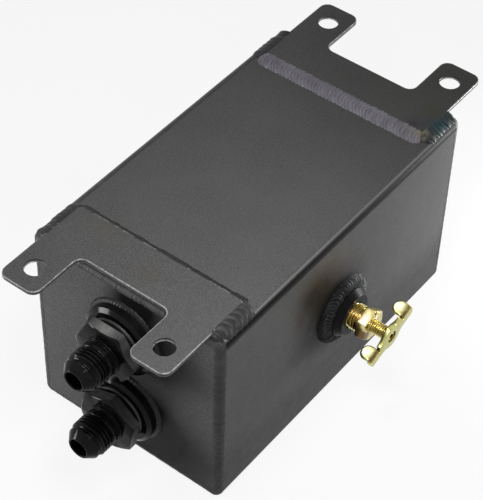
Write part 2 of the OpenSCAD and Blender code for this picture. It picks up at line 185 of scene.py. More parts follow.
class Shader:
    """Adds nodes to one material, all in object coordinates."""

    def __init__(self, name, rough, metal, specular=0.5):
        self.mat, self.tree, self.bsdf = new_material(name)
        self.bsdf.inputs["Roughness"].default_value = rough
        self.bsdf.inputs["Metallic"].default_value = metal
        self.bsdf.inputs["Specular IOR Level"].default_value = specular
        self.coords = self.add("ShaderNodeTexCoord").outputs["Object"]

    def add(self, kind):
        return self.tree.nodes.new(kind)

    def link(self, a, b):
        self.tree.links.new(a, b)

    def noise(self, per_mm, detail=2.0, rough=0.5, stretch=(1, 1, 1)):
        mapping = self.add("ShaderNodeMapping")
        mapping.inputs["Scale"].default_value = stretch
        self.link(self.coords, mapping.inputs["Vector"])
        node = self.add("ShaderNodeTexNoise")
        node.inputs["Scale"].default_value = per_mm * 1000
        node.inputs["Detail"].default_value = detail
        node.inputs["Roughness"].default_value = rough
        self.link(mapping.outputs[0], node.inputs["Vector"])
        return node.outputs["Fac"]

    def ramp(self, value, stops):
        node = self.add("ShaderNodeValToRGB")
        ramp = node.color_ramp
        while len(ramp.elements) < len(stops):
            ramp.elements.new(0.5)
        for element, (place, colour) in zip(ramp.elements, stops):
            element.position = place
            element.color = (*colour, 1)
        self.link(value, node.inputs[0])
        return node.outputs[0]

    def range(self, value, low, high, to_low, to_high):
        node = self.add("ShaderNodeMapRange")
        node.inputs["From Min"].default_value = low
        node.inputs["From Max"].default_value = high
        node.inputs["To Min"].default_value = to_low
        node.inputs["To Max"].default_value = to_high
        self.link(value, node.inputs["Value"])
        return node.outputs[0]

    def math(self, kind, a, b):
        node = self.add("ShaderNodeMath")
        node.operation = kind
        for socket, value in zip(node.inputs, (a, b)):
            if isinstance(value, (int, float)):
                socket.default_value = value
            else:
                self.link(value, socket)
        return node.outputs[0]

    def mix(self, factor, a, b):
        node = self.add("ShaderNodeMix")
        node.data_type = "RGBA"
        for socket, value in ((node.inputs[0], factor), (node.inputs[6], a), (node.inputs[7], b)):
            if isinstance(value, tuple):
                socket.default_value = (*value, 1)
            elif isinstance(value, (int, float)):
                socket.default_value = value
            else:
                self.link(value, socket)
        return node.outputs[2]

    def spot(self, centre, radius, gain=1.0):
        """1 at a place given in millimetres, falling to 0 at the radius; a gain widens its core."""
        apart = self.add("ShaderNodeVectorMath")
        apart.operation = "SUBTRACT"
        self.link(self.coords, apart.inputs[0])
        apart.inputs[1].default_value = Vector(centre) * MM
        length = self.add("ShaderNodeVectorMath")
        length.operation = "LENGTH"
        self.link(apart.outputs[0], length.inputs[0])
        fall = self.range(length.outputs["Value"], radius * MM, 0.0, 0.0, 1.0)
        return self.range(self.math("POWER", fall, 1.5), 0.0, 1.0 / gain, 0.0, 1.0)

    def line(self, x, z, radius):
        """1 near a line parallel to Y, falling to 0 at the radius, in millimetres."""
        apart = self.add("ShaderNodeVectorMath")
        apart.operation = "MULTIPLY_ADD"
        self.link(self.coords, apart.inputs[0])
        apart.inputs[1].default_value = (1, 0, 1)
        apart.inputs[2].default_value = (-x * MM, 0, -z * MM)
        length = self.add("ShaderNodeVectorMath")
        length.operation = "LENGTH"
        self.link(apart.outputs[0], length.inputs[0])
        return self.range(length.outputs["Value"], radius * MM, radius * 0.6 * MM, 0.0, 1.0)

    def colour(self, value):
        self.link(value, self.bsdf.inputs["Base Color"])

    def rough(self, value):
        self.link(value, self.bsdf.inputs["Roughness"])

    def bump(self, height, strength, distance_mm):
        node = self.add("ShaderNodeBump")
        node.inputs["Strength"].default_value = strength
        node.inputs["Distance"].default_value = distance_mm * MM
        self.link(height, node.inputs["Height"])
        self.link(node.outputs[0], self.bsdf.inputs["Normal"])

    def tint(self, base, patch, tints):
        """Colours over the base, each round one place, broken up by the patch noise."""
        for centre, radius, colour, strength in tints:
            broken = self.range(patch, 0.35, 0.6, 0.35 * strength, strength)
            base = self.mix(self.math("MULTIPLY", self.spot(centre, radius), broken), base, colour)
        return base


def sheet_material(name, soot_and_shade):
    """Grained black finish, darker towards the rear as painted shade; the flag adds soot at the drain,
    soot and painted shade on the front plate, painted shade along the lower right edge, and a painted
    highlight and painted shade along the upper right fold.
    """
    s = Shader(name, 0.42, 0.0, 0.07)
    grain = s.noise(2.4, 3.0, 0.65)
    speck = s.noise(1.7, 1.0, 0.5)
    greys = [(0.3, (0.056, 0.056, 0.056)), (0.7, (0.078, 0.078, 0.078))]
    base = s.ramp(s.noise(0.03, 3.0, 0.55), greys)
    base = s.mix(s.range(grain, 0.4, 0.65, 0.0, 1.0), base, (0.118, 0.118, 0.119))
    base = s.mix(s.range(speck, 0.66, 0.76, 0.0, 0.35), base, (0.16, 0.16, 0.165))
    base = s.tint(base, s.noise(0.12, 3.0, 0.6), SHEET_TINTS)
    # Painted shade: the rear of the top and the rear bracket darkened
    rear = s.math("MULTIPLY", s.spot((20.0, 92.0, 130.0), 95.0, 2.3), 0.8)
    base = s.mix(rear, base, (0.040, 0.040, 0.036))
    if soot_and_shade:
        # Painted shade along the lower right edge
        low_edge_shade = s.math("MULTIPLY", s.line(40.0, -6.0, 36.0), 0.55)
        base = s.mix(low_edge_shade, base, (0.030, 0.030, 0.030))
        # Soot round the drain, and soot with painted shade and shadow on the front plate
        for centre, radius, gain, tone in SOOT_AND_SHADE:
            base = s.mix(s.spot(centre, radius, gain), base, tone)
        # Painted highlight line and painted shade band along the upper right fold
        for x, z, radius, tone in FOLD_HIGHLIGHT_AND_SHADE:
            base = s.mix(s.line(x, z, radius), base, tone)
    s.colour(base)
    s.rough(s.range(s.noise(0.25, 3.0, 0.6), 0.3, 0.7, 0.36, 0.48))
    s.bump(grain, 0.5, 0.03)
    return s.mat


def rim_wear_and_sheen_material():
    """Rims of the brackets, rubbed brighter than their faces and lightened further as a painted
    highlight.
    """
    s = Shader("black_sheet_rim_wear_and_sheen", 0.3, 0.0, 0.5)
    wear_and_sheen = s.noise(0.5, 3.0, 0.6)
    s.colour(s.ramp(wear_and_sheen, [(0.35, (0.14, 0.14, 0.14)), (0.65, (0.34, 0.34, 0.34))]))
    s.rough(s.range(wear_and_sheen, 0.3, 0.7, 0.22, 0.36))
    s.bump(s.noise(2.0), 0.2, 0.02)
    return s.mat


def weld_material(name, dark, light, tints=()):
    """Weld metal under the black finish."""
    s = Shader(name, 0.34, 0.0, 0.16)
    fine = s.noise(1.2, 3.0, 0.6)
    base = s.ramp(s.noise(0.2, 3.0, 0.6), [(0.3, dark), (0.7, light)])
    s.colour(s.tint(base, s.noise(0.5), tints))
    s.rough(s.range(fine, 0.3, 0.7, 0.34, 0.5))
    s.bump(fine, 0.25, 0.08)
    return s.mat


def turned_material(name, low, high, dark, light, specular, tints=()):
    """Black finish on turned and milled pieces, its roughness between low and high."""
    s = Shader(name, low, 0.0, specular)
    cloud = s.noise(0.3, 3.0, 0.6)
    base = s.ramp(cloud, [(0.3, (dark, dark, dark * 1.05)), (0.7, (light, light, light * 1.03))])
    brushed = s.noise(0.8, 2.0, 0.5, (3, 0.3, 3))
    s.colour(s.tint(base, brushed, tints))
    s.rough(s.range(cloud, 0.3, 0.7, low, high))
    s.bump(s.noise(2.5), 0.12, 0.03)
    return s.mat


def brass_material(name, low, high, rough, tints=()):
    """Brass whose colour wanders between low and high."""
    s = Shader(name, rough, 1.0)
    base = s.ramp(s.noise(0.35, 3.0, 0.6), [(0.3, low), (0.7, high)])
    s.colour(s.tint(base, s.noise(0.5), tints))
    s.rough(s.range(s.noise(0.8), 0.3, 0.7, rough * 0.8, rough * 1.3))
    s.bump(s.noise(2.2), 0.15, 0.03)
    return s.mat


def rubber_material():
    s = Shader("seal_rubber", 0.55, 0.0)
    s.colour(s.ramp(s.noise(0.6), [(0.3, (0.008, 0.008, 0.008)), (0.7, (0.016, 0.016, 0.016))]))
    s.bump(s.noise(3.0), 0.2, 0.02)
    return s.mat


def place_handle(x, y, h):
    """The handle's own frame: y along the arms, minus x towards the folded edge."""
    a = math.radians(HANDLE_TURN)
    turned = (x * math.cos(a) - y * math.sin(a), x * math.sin(a) + y * math.cos(a))
    return (TANK_W / 2 + h, turned[1], DRAIN_Z - turned[0])


def handle_highlights_and_shades():
    """Dark brass along each fold as a painted dark reflection, and pale brass on the flat of each tab
    as a painted highlight.
    """
    tints = []
    for side in (-1, 1):
        tints.append((place_handle(-2.6, side * 9.95, 17.4), 3.6, (0.78, 0.77, 0.58), 1.8))
        for y in (7.7, 8.8, 9.95, 11.1, 12.2):
            tints.append((place_handle(-1.9, side * y, 20.9), 1.25, (0.16, 0.10, 0.04), 2.6))
    return tints


SHEET = sheet_material("black_sheet", True)
PLATE = sheet_material("black_sheet_bracket", False)
# Rim finish: real wear, lightened further as a painted highlight
RIM_WEAR_AND_SHEEN = rim_wear_and_sheen_material()
CORNER_TINTS = [
    ((37.0, 60.0, 82.0), 9.0, (0.016, 0.050, 0.058), 1.0),
    ((34.0, 51.5, 82.0), 4.0, (0.24, 0.22, 0.15), 1.4),
    ((30.0, 51.0, 82.0), 4.5, (0.20, 0.19, 0.16), 1.0),
]
WELD = weld_material("black_weld", (0.030, 0.030, 0.031), (0.056, 0.056, 0.059), CORNER_TINTS)
BEAD = weld_material("black_weld_wide", (0.135, 0.128, 0.148), (0.205, 0.196, 0.224), CORNER_TINTS)
RING_TINTS = [((41.5, 6.0, 51.0), 8.5, (0.085, 0.088, 0.092), 1.3)]
RING = weld_material("black_weld_ring", (0.007, 0.007, 0.008), (0.016, 0.017, 0.019), RING_TINTS)
LUMP = weld_material("black_weld_lumps", (0.014, 0.014, 0.015), (0.040, 0.040, 0.042), CORNER_TINTS)
# Painted highlight on the upper hexagon's top flat
FLAT_HIGHLIGHT = [((0.0, -78.3, 69.5), 7.5, (0.17, 0.17, 0.16), 1.6)]
TURNED = turned_material("black_turned", 0.1, 0.17, 0.003, 0.008, 0.08)
RUBBER = rubber_material()
# Painted highlights on the top of the pipe thread and hexagon, and painted dark reflection on the
# hexagon's flat facing the front
COCK_HIGHLIGHTS_AND_SHADES = [
    ((46.0, -2.8, 44.0), 5.5, (0.72, 0.56, 0.34), 1.3),
    ((51.6, -2.5, 45.0), 4.5, (0.66, 0.50, 0.30), 2.0),
    ((50.6, -5.5, 39.6), 4.0, (0.16, 0.10, 0.045), 5.0),
    ((52.4, -5.3, 38.0), 4.0, (0.16, 0.10, 0.045), 5.0),
]
BRASS = brass_material("cock_brass", (0.56, 0.47, 0.16), (0.78, 0.69, 0.33), 0.2, COCK_HIGHLIGHTS_AND_SHADES)
PALE = brass_material("handle_brass", (0.42, 0.40, 0.13), (0.54, 0.52, 0.20), 0.2, handle_highlights_and_shades())
SATIN = turned_material("black_turned_satin", 0.34, 0.48, 0.030, 0.062, 0.12, FLAT_HIGHLIGHT)
BLUNT = turned_material("black_turned_dull", 0.3, 0.42, 0.003, 0.006, 0.06)
FINISHES = {
    "black_sheet": SHEET, "black_weld": WELD, "black_turned": TURNED,
    "cock_brass": BRASS, "handle_brass": PALE, "seal_rubber": RUBBER,
}


def finish_nodes():
    """Give every solid the finish of its slot, and the drain's bung a duller one."""
    for sub in frame["record"]["subparts"]:
        obj = NODES[sub["node"]]
        obj.data.materials.clear()
        finish = BLUNT if sub["node"] == "drain_bung" else FINISHES[sub["material_slot"]]
        obj.data.materials.append(finish)
        for p in obj.data.polygons:
            p.use_smooth = True
        obj.data.set_sharp_from_angle(angle=math.radians(30))


# ---------------------------------------------------------------- pieces
def add_piece(name, mesh, materials, nodes, body, sharp):
    """Put a mesh in the scene, riding its body in place of its nodes."""
    kept = [p.material_index for p in mesh.polygons]
    mesh.materials.clear()
    for material in materials:
        mesh.materials.append(material)
    mesh.polygons.foreach_set("material_index", kept)
    mesh.polygons.foreach_set("use_smooth", [True] * len(mesh.polygons))
    mesh.set_sharp_from_angle(angle=math.radians(sharp))
    obj = bpy.data.objects.new(name, mesh)
    bpy.context.scene.collection.objects.link(obj)
    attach(obj, body)
    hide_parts(*nodes)


def piece(name, parts, material, nodes, body="tank", sharp=35, rim=None):
    """One mesh object from sheets of points in millimetres; rim is for the worn edges, which also carry
    a painted highlight.
    """
    verts, faces = joined(parts)
    mesh = bpy.data.meshes.new(name)
    mesh.from_pydata([tuple(c * MM for c in v) for v in verts], [], faces)
    bm = bmesh.new()
    bm.from_mesh(mesh)
    bmesh.ops.remove_doubles(bm, verts=bm.verts, dist=2e-6)
    bmesh.ops.recalc_face_normals(bm, faces=bm.faces)
    bm.to_mesh(mesh)
    bm.free()
    if rim:
        for p in mesh.polygons:
            p.material_index = int(RIM_LEAN[0] < abs(p.normal.z) < RIM_LEAN[1])
    add_piece(name, mesh, [material, rim] if rim else [material], nodes, body, sharp)


def strip(rows, closed):
    """Points and faces of a sheet from rows of points, each row going across it."""
    faces = []
    n = len(rows)
    m = len(rows[0])
    for i in range(n if closed else n - 1):
        a = i * m
        b = ((i + 1) % n) * m
        for j in range(m - 1):
            faces.append((a + j, a + j + 1, b + j + 1, b + j))
    return [p for row in rows for p in row], faces


def joined(parts):
    """Several sheets of points and faces as one."""
    verts = []
    faces = []
    for v, f in parts:
        base = len(verts)
        verts += v
        faces += [tuple(i + base for i in face) for face in f]
    return verts, faces


class Bead:
    """Rippled weld bead, made of stations.

    A station is (corner, toe A, toe B, outward, distance along the bead) and may end with the
    share of the ripple that shows there.
    """

    DRAWS = 400

    def __init__(self, pitch, ripple, lead, across, wobble, seed, notch=0.05, swell=0.0):
        self.pitch = pitch
        self.ripple = ripple
        self.lead = lead
        self.across = across
        self.wobble = wobble
        self.notch = notch
        self.swell = swell
        rng = random.Random(seed)
        self.jitter = [rng.uniform(-1, 1) for _ in range(self.DRAWS)]

    def wander(self, s):
        """Smooth noise from -1 to 1, one draw for each scale of the bead."""
        i = int(s / self.pitch)
        f = s / self.pitch - i
        f = f * f * (3 - 2 * f)
        here = self.jitter[i % self.DRAWS]
        there = self.jitter[(i + 1) % self.DRAWS]
        return here * (1 - f) + there * f

    def row(self, station, bulge, taper):
        corner, toe_a, toe_b, out, s = station[:5]
        ripple = self.ripple * (1 + self.swell * self.wander(s + 3.7 * self.pitch))
        if len(station) > 5:
            ripple *= station[5]
        wide = 1 + self.wobble * self.wander(s)
        points = []
        for j in range(self.across):
            u = j / (self.across - 1)
            crown = math.sin(math.pi * u)
            phase = (s + self.lead * crown + 0.18 * self.pitch * self.wander(s)) / self.pitch
            step = abs(math.sin(math.pi * phase)) ** 0.7
            edge = 1 + self.notch * (step - 0.6)
            flat = (toe_a * (1 - u) + toe_b * u) * wide * edge * (0.35 + 0.65 * taper)
            rise = crown ** 0.75 * bulge + ripple * (step - 0.6) * crown ** 0.4
            points.append(tuple(corner + flat + out * rise * taper))
        return points

    def sheet(self, stations, bulge, closed=False, ends=0.0):
        length = stations[-1][4]
        rows = []
        for station in stations:
            taper = 1.0
            if ends > 0:
                near = min(station[4], length - station[4])
                taper = min(1.0, math.sqrt(max(near / ends, 0.0)))
            rows.append(self.row(station, bulge, taper))
        return strip(rows, closed)


def straight(start, end, toe_a, toe_b, out, step=0.12):
    """Stations along a straight run."""
    start = Vector(start)
    end = Vector(end)
    length = (end - start).length
    count = max(2, round(length / step))
    toes = (Vector(toe_a), Vector(toe_b), Vector(out).normalized())
    return [(start.lerp(end, i / count), *toes, length * i / count) for i in range(count + 1)]


def end_bead(name, node, sign):
    """Bead all round one end plate, at the corner between the plate and the wrap."""
    half_w = TANK_W / 2 - END_BEAD
    half_h = TANK_H / 2 - END_BEAD
    round_r = FOLD_R - END_BEAD
    y = sign * (TANK_L / 2 - END_BEAD)
    front = Vector((0, sign, 0))
    path = []
    for sx, sz, start in ((-1, -1, 180), (1, -1, 270), (1, 1, 0), (-1, 1, 90)):
        for k in range(9):
            t = math.radians(start + 90 * k / 8)
            normal = Vector((math.cos(t), 0, math.sin(t)))
            centre = Vector((sx * (half_w - round_r), y, TANK_H / 2 + sz * (half_h - round_r)))
            path.append((centre + normal * round_r, normal))
    stations = []
    s = 0.0
    for i, (p, n) in enumerate(path):
        q, m = path[(i + 1) % len(path)]
        length = (q - p).length + (m - n).length * END_BEAD * 0.7
        count = max(1, round(length / 0.14))
        for k in range(count):
            f = k / count
            normal = n.lerp(m, f).normalized()
            toe_a = front * (END_BEAD + 0.03) - normal * 0.45
            toe_b = normal * (END_BEAD + 0.03) - front * 0.45
            out = (front + normal).normalized()
            show = 0.15 + 0.85 * max(normal.x, 0.0)
            stations.append((p.lerp(q, f), toe_a, toe_b, out, s + length * f, show))
        s += length
    pitch = s / round(s / 0.95)
    bead = Bead(pitch, ripple=0.16, lead=0.7, across=9, wobble=0.03, seed=3, notch=0.04, swell=0.5)
    verts, faces = bead.sheet(stations, 1.0, closed=True)
    verts = [(x, y, max(z, 0.0)) for x, y, z in verts]
    piece(name, [(verts, faces)], WELD, [node])


def ring_bead(origin, axis, side, up, radius, reach, rise, bulge, bead, step=0.16):
    """Fillet bead round a turned piece."""
    axis = Vector(axis)
    around = 2 * math.pi * (radius + reach / 2)
    bead.pitch = around / round(around / bead.pitch)
    count = round(around / step)
    stations = []
    for i in range(count):
        t = 2 * math.pi * i / count
        radial = Vector(side) * math.cos(t) + Vector(up) * math.sin(t)
        corner = Vector(origin) + radial * radius
        toe_a = radial * reach - axis * 0.05
        toe_b = axis * rise - radial * 0.1
        out = (radial * rise + axis * reach).normalized()
        stations.append((corner, toe_a, toe_b, out, around * i / count))
    return bead.sheet(stations, bulge, closed=True)


def seam_bead():
    """Flush seam along the upper left fold with a slightly ragged edge."""
    centre = Vector((-(TANK_W / 2 - FOLD_R), 0, TANK_H - FOLD_R))
    half = TANK_L / 2 - END_BEAD
    rng = random.Random(11)
    rows = []
    rag = [rng.uniform(0, 1) for _ in range(SEAM_ROWS + 1)]
    for i in range(SEAM_ROWS + 1):
        y = -half + 2 * half * i / SEAM_ROWS
        lift = 0.12 + 0.14 * rag[i] * rag[(i * 7) % SEAM_ROWS]
        row = []
        for j in range(9):
            u = j / 8
            t = math.radians(SEAM_ANGLE - SEAM_SPREAD + 2 * SEAM_SPREAD * u)
            crown = math.sin(math.pi * u)
            r = FOLD_R - 0.05 + (lift + 0.05 * math.sin(math.pi * y / 0.6)) * crown
            row.append((centre.x + r * math.cos(t), y, centre.z + r * math.sin(t)))
        rows.append(row)
    piece("seam_bead", [strip(rows, False)], WELD, ["seam_weld"])


def bracket_beads(name, sign, left, right):
    """Beads down both short sides of a bracket; each is (pitch, ripple, bulge, notch).

    They are longer and wider than the solid's beads.
    """
    parts = []
    up = Vector((0, 0, 1))
    for side, (pitch, ripple, bulge, notch) in ((-1, left), (1, right)):
        x = side * BRACKET_W / 2
        near = (x, sign * (BRACKET_SEAT_Y - 0.8), TANK_H)
        far = (x, sign * (TANK_L / 2 - 0.8), TANK_H)
        away = Vector((side, 0, 0))
        toe_a = up * 1.75 - away * 0.6
        toe_b = away * 4.2 - up * 1.2
        stations = straight(near, far, toe_a, toe_b, up + away * 0.7)
        seed = 5 + side + sign
        bead = Bead(pitch, ripple, lead=1.4, across=15, wobble=0.10, seed=seed, notch=notch)
        parts.append(bead.sheet(stations, bulge, ends=1.6))
    piece(name + "_bracket_beads", parts, LUMP, [name + "_bracket_weld"])


def wide_bead():
    """Broad bead of large scales along the rear bracket's inner edge."""
    y = BRACKET_SEAT_Y
    ends = BRACKET_W / 2 + 0.6
    toe_a = (0, -3.3, -0.05)
    toe_b = (0, 2.5, BRACKET_T - 0.05)
    stations = straight((-ends, y, TANK_H), (ends, y, TANK_H), toe_a, toe_b, (0, -0.25, 1))
    bead = Bead(1.5, ripple=0.62, lead=1.5, across=15, wobble=0.05, seed=9, notch=0.14, swell=0.25)
    sheet = bead.sheet(stations, 1.0, ends=2.2)
    piece("rear_edge_bead", [sheet], BEAD, ["rear_bracket_weld"])


def edge_shade_line():
    """Low dark bead along the front bracket's inner edge, dark to stand in for the shade there (painted
    shade), seen only at a glance from the front.
    """
    y = -BRACKET_SEAT_Y
    ends = BRACKET_W / 2
    toe_a = (0, 2.3, -0.03)
    toe_b = (0, -0.35, BRACKET_T + 0.03)
    stations = straight((-ends, y, TANK_H), (ends, y, TANK_H), toe_a, toe_b, (0, 0.7, 1), 0.15)
    bead = Bead(1.8, ripple=0.05, lead=0.8, across=9, wobble=0.12, seed=13, notch=0.04)
    sheet = bead.sheet(stations, 0.12, ends=1.0)
    piece("front_edge_shade_bead", [sheet], RING, ["front_bracket_weld"])


def port_rings():
    for name, z in PORT_Z.items():
        bead = Bead(1.3, ripple=0.10, lead=0.6, across=9, wobble=0.05, seed=21)
        origin = (0, -TANK_L / 2, z)
        sheet = ring_bead(origin, (0, -1, 0), (1, 0, 0), (0, 0, 1), BUNG_R, 1.4, 1.3, 0.32, bead)
        piece(name + "_port_ring_bead", [sheet], RING, [name + "_bung_weld"])


def drain_ring():
    bead = Bead(1.3, ripple=0.34, lead=1.6, across=15, wobble=0.06, seed=31, notch=0.14, swell=0.7)
    origin = (TANK_W / 2, 0, DRAIN_Z)
    sheet = ring_bead(origin, (1, 0, 0), (0, 1, 0), (0, 0, 1), DRAIN_BUNG_R, 3.9, 2.8, 0.8, bead)
    piece("drain_ring_bead", [sheet], RING, ["drain_bung_weld"])


# ---------------------------------------------------------------- turned pieces
def place_port(z):
    """From a port's own frame, axis out of the plate, to the part's frame."""
    return lambda x, y, h: (x, -(TANK_L / 2 + h), z + y)


def place_drain(x, y, h):
    """From the drain's own frame, axis out of the right wall, to the part's frame."""
    return (TANK_W / 2 + h, y, DRAIN_Z + x)


def lathe(profile, place, around=96):
    """A turned surface through (radius, height) points, open at both ends."""
    rows = []
    for i in range(around):
        t = 2 * math.pi * i / around
        rows.append([place(r * math.cos(t), r * math.sin(t), h) for r, h in profile])
    return strip(rows, True)


def rounded(points, radius, steps=3):
    """The same profile with its corners rounded."""
    out = [points[0]]
    for a, b, c in zip(points, points[1:], points[2:]):
        mid = Vector(b)
        va = Vector(a) - mid
        vc = Vector(c) - mid
        cut = min(radius, va.length * 0.45, vc.length * 0.45)
        p = mid + va.normalized() * cut
        q = mid + vc.normalized() * cut
        for k in range(steps + 1):
            f = k / steps
            m = p.lerp(mid, f).lerp(mid.lerp(q, f), f)
            out.append((m.x, m.y))
    out.append(points[-1])
    return out


def thread(place, root, crest, start, end, pitch, around=72):
    """A real helical thread between two heights, fading out at both ends."""
    shape = [(0.0, 0.0), (0.10, 0.0), (0.38, 1.0), (0.62, 1.0), (0.90, 0.0)]
    turns = int((end - start) / pitch) + 2
    rows = []
    for i in range(around + 1):
        t = 2 * math.pi * i / around
        row = []
        for k in range(turns):
            for f, lift in shape:
                h = start - pitch + (k + f + i / around) * pitch
                h = min(max(h, start), end)
                fade = min(1.0, max(min(h - start, end - h) / (0.5 * pitch), 0.0))
                r = root + (crest - root) * lift * fade
                row.append(place(r * math.cos(t), r * math.sin(t), h))
        rows.append(row)
    return strip(rows, False)


def hexagon(place, flats, low, high, turn, bore, part="all", around=144):
    """Hexagon with its front corners turned off round; part picks its flats, its front or all of it."""
    corner = flats / math.sqrt(3) * HEX_CORNER
    face = flats / 2 * HEX_FACE
    rows = []
    for i in range(around):
        t = 360.0 * i / around
        local = ((t - turn) % 60) - 30
        r_hex = min((flats / 2) / math.cos(math.radians(local)), corner)
        drop = max(0.0, r_hex - face) * math.tan(math.radians(30))
        a = math.radians(t)
        points = [(bore, low), (r_hex - 0.3, low), (r_hex, low + 0.3)]
        points += [(r_hex, high - drop - 0.12), (r_hex - 0.06, high - drop), (face, high), (bore, high)]
        if part == "flats":
            points = points[1:4]
        elif part == "front":
            points = points[3:]
        rows.append([place(r * math.cos(a), r * math.sin(a), h) for r, h in points])
    return strip(rows, True)


def port_fitting(name, z, turn):
    """Flare fitting in two pieces: the satin hexagon flats and all that is turned.

    Its collar, neck and cone differ from the solid's, whose neck is 5.9 in radius.
    """
    place = place_port(z)
    shoulder = 5.9
    inner = shoulder - 8.4
    back = 7.3
    front = 11.6
    hex_bore = 6.5
    tip = 25.72
    boss = [
        (PORT_BORE_R, inner), (8.7, inner), (9.5, shoulder - 7.6), (9.5, shoulder - 3.5),
        (8.2, shoulder - 2.7), (8.2, shoulder), (10.6, shoulder), (10.6, back),
    ]
    neck = [
        (7.4, front - 0.2), (7.4, 12.2), (6.6, 12.3), (6.6, 12.8), (7.0, 12.9), (7.0, 15.2),
        (FLARE_ROOT_R, 15.6),
    ]
    nose = [
        (FLARE_ROOT_R, 21.0), (5.8, 21.4), (5.8, 21.9), (6.5, 22.2), (6.5, 22.9),
        (4.2, tip - 0.02), (3.85, tip), (PORT_BORE_R, tip - 0.2), (PORT_BORE_R, inner),
    ]
    parts = [
        lathe(rounded(boss, 0.25), place),
        hexagon(place, PORT_HEX, back, front, turn, hex_bore, "front"),
        lathe(rounded(neck, 0.2), place),
        thread(place, FLARE_ROOT_R, FLARE_CREST_R, 15.1, 21.3, FLARE_PITCH),
        lathe(rounded(nose, 0.3, 4), place),
    ]
    flats = [hexagon(place, PORT_HEX, back, front, turn, hex_bore, "flats")]
    piece(name + "_hexagon", flats, SATIN, [name + "_port_fitting"], sharp=32)
    piece(name + "_fitting", parts, TURNED, [name + "_port_fitting"], sharp=32)


def cock_body():
    """Pipe thread and hexagon, with the passage, seat, chamber and stem bore inside."""
    place = place_drain
    inner = -2.5
    seat = 0.8
    chamber_r = 3.2
    chamber_end = 5.8
    inside = [
        (COCK_BORE_R, COCK_HEX_FRONT), (COCK_BORE_R, chamber_end), (chamber_r, chamber_end),
        (chamber_r, seat), (DRAIN_R, seat), (DRAIN_R, inner),
    ]
    parts = [
        lathe([(DRAIN_R, inner), (4.6, inner), (4.6, 5.2), (4.5, 5.3)], place),
        thread(place, PIPE_ROOT_R, PIPE_CREST_R, 5.2, COCK_HEX_BACK, PIPE_PITCH),
        hexagon(place, COCK_HEX, COCK_HEX_BACK, COCK_HEX_FRONT, COCK_HEX_TURN, COCK_BORE_R),
        lathe(inside, place, 48),
    ]
    piece("cock_body_turned", parts, BRASS, ["drain_cock_body"], sharp=32)


def cock_stem():
    """Cone at the seat, real thread, and the hollow that opens at the outer end."""
    place = place_drain
    parts = [
        lathe([(0.02, 0.85), (1.3, 0.85), (2.1, 2.05), (2.1, 6.0)], place, 48),
        thread(place, STEM_ROOT_R, STEM_CREST_R, 5.9, 20.8, STEM_PITCH, 48),
        lathe([(STEM_ROOT_R, 20.6), (2.0, 20.95), (1.0, 21.0), (1.0, 3.0), (0.02, 3.0)], place, 48),
    ]
    piece("stem_threaded", parts, BRASS, ["drain_stem"], body="stem", sharp=32)


# ---------------------------------------------------------------- handle
def arc(cx, cy, r, start, end, steps):
    """Points along an arc, its angles in degrees."""
    points = []
    for k in range(steps + 1):
        t = math.radians(start + (end - start) * k / steps)
        points.append((cx + r * math.cos(t), cy + r * math.sin(t)))
    return points


def handle_outline():
    """Outline of the flat sheet, with a flag for the points where a tab folds back."""
    hub = 5.0
    blend = 5.0
    fx = ARM_HALF + blend
    fy = math.sqrt((hub + blend) ** 2 - fx ** 2)
    meet = math.degrees(math.atan2(fy, fx))
    end_r = 1.67
    seam_x = FOLD_R_OUT - ARM_HALF
    half = arc(0, 0, hub, 0, meet, 8)
    half += arc(fx, fy, blend, 180 + meet, 180, 8)[1:]
    half += arc(ARM_HALF - end_r, ARM_END - end_r, end_r, 0, 90, 6)
    flags = [False] * len(half)
    half += [(seam_x, ARM_END), (seam_x, TAB_START)]
    flags += [True, True]
    notch = [(seam_x - 0.5, TAB_START - 0.35), (-ARM_HALF + 0.35, TAB_START - 0.4)]
    notch += [(-ARM_HALF, TAB_START - 0.6)]
    notch += arc(-fx, fy, blend, 0, -meet, 8)[1:]
    half += notch
    flags += [False] * len(notch)
    half += arc(0, 0, hub, 180 - meet, 180, 8)[1:]
    flags += [False] * 8
    mirrored = [(x, -y) for x, y in reversed(half)][1:-1]
    return half + mirrored, flags + list(reversed(flags))[1:-1]


def inset(points, flags, amount):
    """Move each point inwards along its own normal, except where a tab folds back."""
    area = sum(a[0] * b[1] - b[0] * a[1] for a, b in zip(points, points[1:] + points[:1]))
    side = 1 if area > 0 else -1
    out = []
    for i, p in enumerate(points):
        if flags[i]:
            out.append(p)
            continue
        q = points[i - 1]
        r = points[(i + 1) % len(points)]
        along = Vector((r[0] - q[0], r[1] - q[1])).normalized()
        out.append((p[0] - along.y * amount * side, p[1] + along.x * amount * side))
    return out


def plate_part(outline, flags, holes, low, high, edge):
    """A flat plate with holes and rounded edges, as points and faces.

    Known fault: the rounding narrows each hole at both faces, where it should widen it.
    """
    bm = bmesh.new()
    loops = []
    steps = 3
    for points, marks in [(outline, flags)] + [(hole, [False] * len(hole)) for hole in holes]:
        rings = []
        for k in range(steps + 1):
            t = math.radians(90 * k / steps)
            ring = inset(points, marks, edge * (1 - math.sin(t)))
            rings.append([bm.verts.new((x, y, low + edge * (1 - math.cos(t)))) for x, y in ring])
        for k in range(steps + 1):
            t = math.radians(90 * (1 - k / steps))
            ring = inset(points, marks, edge * (1 - math.sin(t)))
            rings.append([bm.verts.new((x, y, high - edge * (1 - math.cos(t)))) for x, y in ring])
        for a, b in zip(rings, rings[1:]):
            n = len(a)
            for i in range(n):
                j = (i + 1) % n
                bm.faces.new((a[i], a[j], b[j], b[i]))
        loops.append((rings[0], rings[-1]))
    for which in (0, 1):
        edges = []
        for pair in loops:
            ring = pair[which]
            for i in range(len(ring)):
                edges.append(bm.edges.get((ring[i], ring[(i + 1) % len(ring)])))
        bmesh.ops.triangle_fill(bm, use_beauty=True, edges=edges)
    bm.verts.index_update()
    verts = [tuple(v.co) for v in bm.verts]
    faces = [tuple(v.index for v in f.verts) for f in bm.faces]
    bm.free()
    return verts, faces


